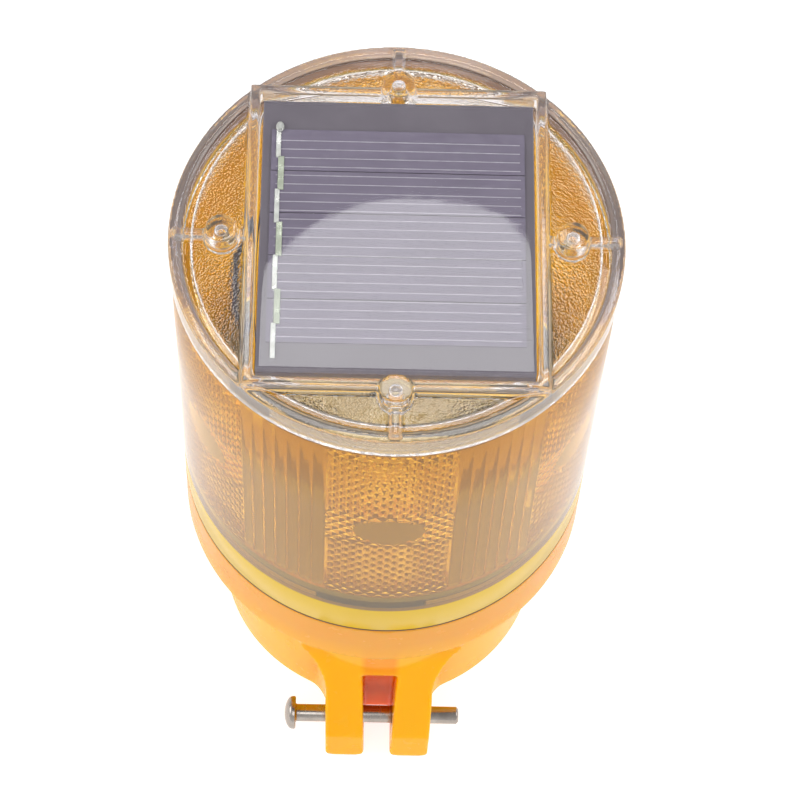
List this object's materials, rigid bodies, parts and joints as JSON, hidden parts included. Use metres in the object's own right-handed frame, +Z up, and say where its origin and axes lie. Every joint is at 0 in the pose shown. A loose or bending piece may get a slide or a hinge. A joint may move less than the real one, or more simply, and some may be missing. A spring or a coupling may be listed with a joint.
{
  "type": "barricade warning light",
  "caption": "Solar amber barricade warning light with a prismatic lens, a clear cap over the solar panel and a socket base with a pinned fork.",
  "frame": {"origin": "centre of the socket's mouth, on the light's axis, at the level that it stands on", "axes": "+Z up along the light's axis, -Y towards the fork's ears, X along the locking pin"},
  "size_m": [0.09, 0.096, 0.153],
  "materials": {
    "orange_plastic": "moulded, semi-gloss",
    "pale_plastic": "moulded, natural",
    "grey_plastic": "moulded",
    "screw_steel": "zinc plated",
    "seal_rubber": "soft",
    "black_plastic": "moulded",
    "cell_wrap": "printed sleeve, plain",
    "contact_metal": "tinned",
    "lead_sheath": "PVC sheath",
    "button_rubber": "soft",
    "circuit_board": "solder mask",
    "led_clear": "clear epoxy",
    "amber_clear": "clear amber, prismatic",
    "cap_clear": "clear, pebbled plate",
    "silicon": "grey violet silicon",
    "epoxy_clear": "clear potting, glossy",
    "pin_steel": "bright drawn steel"
  },
  "bodies": {
    "base": {"base_housing": "orange_plastic", "lens_collar": "pale_plastic", "chassis_plate": "grey_plastic", "collar_screws": "screw_steel", "plate_screws": "screw_steel", "seal_ring": "seal_rubber", "battery_holder": "black_plastic", "battery_cells": "cell_wrap", "battery_contacts": "contact_metal", "battery_leads": "lead_sheath", "switch_body": "black_plastic", "switch_seal": "seal_rubber", "switch_leads": "lead_sheath", "control_board": "circuit_board", "board_screws": "screw_steel", "board_chip": "black_plastic", "board_parts": "black_plastic", "led_column": "pale_plastic", "led_board": "circuit_board", "led_lamps": "led_clear", "panel_socket": "black_plastic"},
    "head": {"amber_lens": "amber_clear", "clear_cap": "cap_clear", "solar_board": "circuit_board", "solar_cells": "silicon", "tab_ribbon": "contact_metal", "panel_epoxy": "epoxy_clear", "panel_lead": "lead_sheath", "panel_plug": "black_plastic"},
    "pin": {"locking_pin": "pin_steel"},
    "button": {"switch_button": "button_rubber"}
  },
  "joints": [
    {"name": "head_twist", "type": "hinge", "parent": "base", "child": "head", "pos_m": [0, 0, 0.0585], "axis": [0, 0, 1], "range_deg": [0, 20]},
    {"name": "pin_slide", "type": "slide", "parent": "base", "child": "pin", "axis": [-1, 0, 0], "range_m": [0, 0.022]},
    {"name": "button_press", "type": "slide", "parent": "base", "child": "button", "axis": [0, 0, 1], "range_m": [0, 0.001], "stiffness_N_per_m": 800, "springref_m": -0.001}
  ]
}
